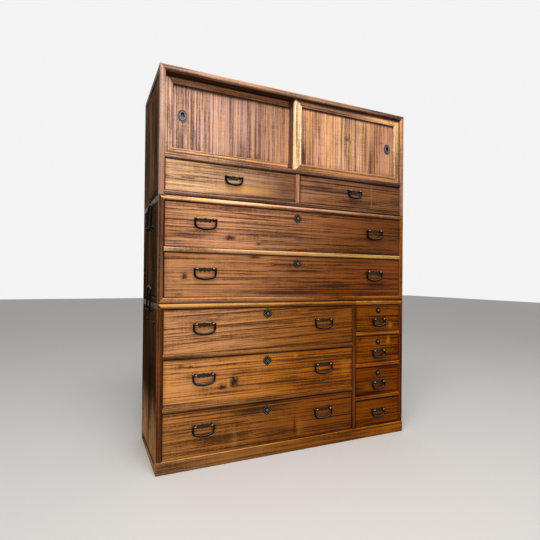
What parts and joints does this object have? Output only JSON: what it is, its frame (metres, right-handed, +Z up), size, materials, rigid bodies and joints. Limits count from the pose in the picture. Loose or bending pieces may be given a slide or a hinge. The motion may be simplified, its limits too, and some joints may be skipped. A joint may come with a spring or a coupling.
{
  "type": "isho clothing chest",
  "caption": "Tall Japanese clothing chest in stacked sections, with sliding cupboard doors over wide and small drawers that have black iron bail handles.",
  "frame": {"origin": "on the floor, under the middle of the chest with its ironwork", "axes": "+X to the viewer's right along the front, +Y from the front to the back, +Z up"},
  "size_m": [1.236, 0.435, 1.575],
  "materials": {
    "frame_wood": "satin lacquer, golden brown",
    "drawer_wood": "satin lacquer, reddish golden brown",
    "door_panel_wood": "satin lacquer, striped grain",
    "side_wood": "satin lacquer, dark brown",
    "carcass_wood": "oiled, mid brown",
    "black_iron": "black, slightly worn"
  },
  "bodies": {
    "bottom_case": {"bottom_case_sides": "side_wood", "bottom_case_front_frame": "frame_wood", "bottom_case_plinth": "side_wood", "bottom_case_back_and_shelves": "carcass_wood", "bottom_case_side_iron": "black_iron"},
    "middle_case": {"middle_case_sides": "side_wood", "middle_case_front_frame": "frame_wood", "middle_case_back_and_shelves": "carcass_wood", "middle_case_side_iron": "black_iron"},
    "top_case": {"top_case_sides": "side_wood", "top_case_front_frame": "frame_wood", "top_case_back_and_shelves": "carcass_wood"},
    "left_door": {"left_door_frame": "frame_wood", "left_door_panel": "door_panel_wood", "left_door_pull": "black_iron"},
    "right_door": {"right_door_frame": "frame_wood", "right_door_panel": "door_panel_wood", "right_door_pull": "black_iron"},
    "wide_low_drawer": {"wide_low_drawer_box": "drawer_wood", "wide_low_drawer_iron": "black_iron"},
    "wide_low_drawer_left_bail": {"wide_low_drawer_left_bail": "black_iron"},
    "wide_low_drawer_right_bail": {"wide_low_drawer_right_bail": "black_iron"},
    "wide_centre_drawer": {"wide_centre_drawer_box": "drawer_wood", "wide_centre_drawer_iron": "black_iron"},
    "wide_centre_drawer_left_bail": {"wide_centre_drawer_left_bail": "black_iron"},
    "wide_centre_drawer_right_bail": {"wide_centre_drawer_right_bail": "black_iron"},
    "wide_high_drawer": {"wide_high_drawer_box": "drawer_wood", "wide_high_drawer_iron": "black_iron"},
    "wide_high_drawer_left_bail": {"wide_high_drawer_left_bail": "black_iron"},
    "wide_high_drawer_right_bail": {"wide_high_drawer_right_bail": "black_iron"},
    "small_1_drawer": {"small_1_drawer_box": "drawer_wood", "small_1_drawer_iron": "black_iron"},
    "small_1_drawer_bail": {"small_1_drawer_bail": "black_iron"},
    "small_2_drawer": {"small_2_drawer_box": "drawer_wood", "small_2_drawer_iron": "black_iron"},
    "small_2_drawer_bail": {"small_2_drawer_bail": "black_iron"},
    "small_3_drawer": {"small_3_drawer_box": "drawer_wood", "small_3_drawer_iron": "black_iron"},
    "small_3_drawer_bail": {"small_3_drawer_bail": "black_iron"},
    "small_4_drawer": {"small_4_drawer_box": "drawer_wood", "small_4_drawer_iron": "black_iron"},
    "small_4_drawer_bail": {"small_4_drawer_bail": "black_iron"},
    "middle_low_drawer": {"middle_low_drawer_box": "drawer_wood", "middle_low_drawer_iron": "black_iron"},
    "middle_low_drawer_left_bail": {"middle_low_drawer_left_bail": "black_iron"},
    "middle_low_drawer_right_bail": {"middle_low_drawer_right_bail": "black_iron"},
    "middle_high_drawer": {"middle_high_drawer_box": "drawer_wood", "middle_high_drawer_iron": "black_iron"},
    "middle_high_drawer_left_bail": {"middle_high_drawer_left_bail": "black_iron"},
    "middle_high_drawer_right_bail": {"middle_high_drawer_right_bail": "black_iron"},
    "top_left_drawer": {"top_left_drawer_box": "drawer_wood", "top_left_drawer_iron": "black_iron"},
    "top_left_drawer_bail": {"top_left_drawer_bail": "black_iron"},
    "top_right_drawer": {"top_right_drawer_box": "drawer_wood", "top_right_drawer_iron": "black_iron"},
    "top_right_drawer_bail": {"top_right_drawer_bail": "black_iron"},
    "middle_left_carrying_bail": {"middle_left_carrying_bail": "black_iron"},
    "middle_right_carrying_bail": {"middle_right_carrying_bail": "black_iron"},
    "bottom_left_carrying_bail": {"bottom_left_carrying_bail": "black_iron"},
    "bottom_right_carrying_bail": {"bottom_right_carrying_bail": "black_iron"}
  },
  "joints": [
    {"name": "middle_case_lift", "type": "slide", "parent": "bottom_case", "child": "middle_case", "axis": [0, 0, 1], "range_m": [0, 0.25]},
    {"name": "top_case_lift", "type": "slide", "parent": "middle_case", "child": "top_case", "axis": [0, 0, 1], "range_m": [0, 0.25]},
    {"name": "left_door_slide", "type": "slide", "parent": "top_case", "child": "left_door", "axis": [1, 0, 0], "range_m": [0, 0.565]},
    {"name": "right_door_slide", "type": "slide", "parent": "top_case", "child": "right_door", "axis": [-1, 0, 0], "range_m": [0, 0.565]},
    {"name": "wide_low_drawer_slide", "type": "slide", "parent": "bottom_case", "child": "wide_low_drawer", "axis": [0, -1, 0], "range_m": [0, 0.3]},
    {"name": "wide_low_drawer_left_bail_swing", "type": "hinge", "parent": "wide_low_drawer", "child": "wide_low_drawer_left_bail", "pos_m": [-0.417, -0.2095, 0.169], "axis": [-1, 0, 0], "range_deg": [0, 180]},
    {"name": "wide_low_drawer_right_bail_swing", "type": "hinge", "parent": "wide_low_drawer", "child": "wide_low_drawer_right_bail", "pos_m": [0.136, -0.2095, 0.169], "axis": [-1, 0, 0], "range_deg": [0, 180]},
    {"name": "wide_centre_drawer_slide", "type": "slide", "parent": "bottom_case", "child": "wide_centre_drawer", "axis": [0, -1, 0], "range_m": [0, 0.3]},
    {"name": "wide_centre_drawer_left_bail_swing", "type": "hinge", "parent": "wide_centre_drawer", "child": "wide_centre_drawer_left_bail", "pos_m": [-0.417, -0.2095, 0.37], "axis": [-1, 0, 0], "range_deg": [0, 180]},
    {"name": "wide_centre_drawer_right_bail_swing", "type": "hinge", "parent": "wide_centre_drawer", "child": "wide_centre_drawer_right_bail", "pos_m": [0.136, -0.2095, 0.37], "axis": [-1, 0, 0], "range_deg": [0, 180]},
    {"name": "wide_high_drawer_slide", "type": "slide", "parent": "bottom_case", "child": "wide_high_drawer", "axis": [0, -1, 0], "range_m": [0, 0.3]},
    {"name": "wide_high_drawer_left_bail_swing", "type": "hinge", "parent": "wide_high_drawer", "child": "wide_high_drawer_left_bail", "pos_m": [-0.417, -0.2095, 0.571], "axis": [-1, 0, 0], "range_deg": [0, 180]},
    {"name": "wide_high_drawer_right_bail_swing", "type": "hinge", "parent": "wide_high_drawer", "child": "wide_high_drawer_right_bail", "pos_m": [0.136, -0.2095, 0.571], "axis": [-1, 0, 0], "range_deg": [0, 180]},
    {"name": "small_1_drawer_slide", "type": "slide", "parent": "bottom_case", "child": "small_1_drawer", "axis": [0, -1, 0], "range_m": [0, 0.3]},
    {"name": "small_1_drawer_bail_swing", "type": "hinge", "parent": "small_1_drawer", "child": "small_1_drawer_bail", "pos_m": [0.4475, -0.2095, 0.127], "axis": [-1, 0, 0], "range_deg": [0, 180]},
    {"name": "small_2_drawer_slide", "type": "slide", "parent": "bottom_case", "child": "small_2_drawer", "axis": [0, -1, 0], "range_m": [0, 0.3]},
    {"name": "small_2_drawer_bail_swing", "type": "hinge", "parent": "small_2_drawer", "child": "small_2_drawer_bail", "pos_m": [0.4475, -0.2095, 0.261], "axis": [-1, 0, 0], "range_deg": [0, 180]},
    {"name": "small_3_drawer_slide", "type": "slide", "parent": "bottom_case", "child": "small_3_drawer", "axis": [0, -1, 0], "range_m": [0, 0.3]},
    {"name": "small_3_drawer_bail_swing", "type": "hinge", "parent": "small_3_drawer", "child": "small_3_drawer_bail", "pos_m": [0.4475, -0.2095, 0.411], "axis": [-1, 0, 0], "range_deg": [0, 180]},
    {"name": "small_4_drawer_slide", "type": "slide", "parent": "bottom_case", "child": "small_4_drawer", "axis": [0, -1, 0], "range_m": [0, 0.3]},
    {"name": "small_4_drawer_bail_swing", "type": "hinge", "parent": "small_4_drawer", "child": "small_4_drawer_bail", "pos_m": [0.4475, -0.2095, 0.563], "axis": [-1, 0, 0], "range_deg": [0, 180]},
    {"name": "middle_low_drawer_slide", "type": "slide", "parent": "middle_case", "child": "middle_low_drawer", "axis": [0, -1, 0], "range_m": [0, 0.3]},
    {"name": "middle_low_drawer_left_bail_swing", "type": "hinge", "parent": "middle_low_drawer", "child": "middle_low_drawer_left_bail", "pos_m": [-0.417, -0.2095, 0.7895], "axis": [-1, 0, 0], "range_deg": [0, 180]},
    {"name": "middle_low_drawer_right_bail_swing", "type": "hinge", "parent": "middle_low_drawer", "child": "middle_low_drawer_right_bail", "pos_m": [0.417, -0.2095, 0.7895], "axis": [-1, 0, 0], "range_deg": [0, 180]},
    {"name": "middle_high_drawer_slide", "type": "slide", "parent": "middle_case", "child": "middle_high_drawer", "axis": [0, -1, 0], "range_m": [0, 0.3]},
    {"name": "middle_high_drawer_left_bail_swing", "type": "hinge", "parent": "middle_high_drawer", "child": "middle_high_drawer_left_bail", "pos_m": [-0.417, -0.2095, 0.987], "axis": [-1, 0, 0], "range_deg": [0, 180]},
    {"name": "middle_high_drawer_right_bail_swing", "type": "hinge", "parent": "middle_high_drawer", "child": "middle_high_drawer_right_bail", "pos_m": [0.417, -0.2095, 0.987], "axis": [-1, 0, 0], "range_deg": [0, 180]},
    {"name": "top_left_drawer_slide", "type": "slide", "parent": "top_case", "child": "top_left_drawer", "axis": [0, -1, 0], "range_m": [0, 0.3]},
    {"name": "top_left_drawer_bail_swing", "type": "hinge", "parent": "top_left_drawer", "child": "top_left_drawer_bail", "pos_m": [-0.3, -0.2095, 1.168], "axis": [-1, 0, 0], "range_deg": [0, 180]},
    {"name": "top_right_drawer_slide", "type": "slide", "parent": "top_case", "child": "top_right_drawer", "axis": [0, -1, 0], "range_m": [0, 0.3]},
    {"name": "top_right_drawer_bail_swing", "type": "hinge", "parent": "top_right_drawer", "child": "top_right_drawer_bail", "pos_m": [0.3, -0.2095, 1.168], "axis": [-1, 0, 0], "range_deg": [0, 180]},
    {"name": "middle_left_carrying_bail_swing", "type": "hinge", "parent": "middle_case", "child": "middle_left_carrying_bail", "pos_m": [-0.609, -0.0125, 0.96], "axis": [0, -1, 0], "range_deg": [0, 184]},
    {"name": "middle_right_carrying_bail_swing", "type": "hinge", "parent": "middle_case", "child": "middle_right_carrying_bail", "pos_m": [0.609, -0.0125, 0.96], "axis": [0, 1, 0], "range_deg": [0, 184]},
    {"name": "bottom_left_carrying_bail_swing", "type": "hinge", "parent": "bottom_case", "child": "bottom_left_carrying_bail", "pos_m": [-0.609, -0.0125, 0.618], "axis": [0, -1, 0], "range_deg": [0, 184]},
    {"name": "bottom_right_carrying_bail_swing", "type": "hinge", "parent": "bottom_case", "child": "bottom_right_carrying_bail", "pos_m": [0.609, -0.0125, 0.618], "axis": [0, 1, 0], "range_deg": [0, 184]}
  ]
}
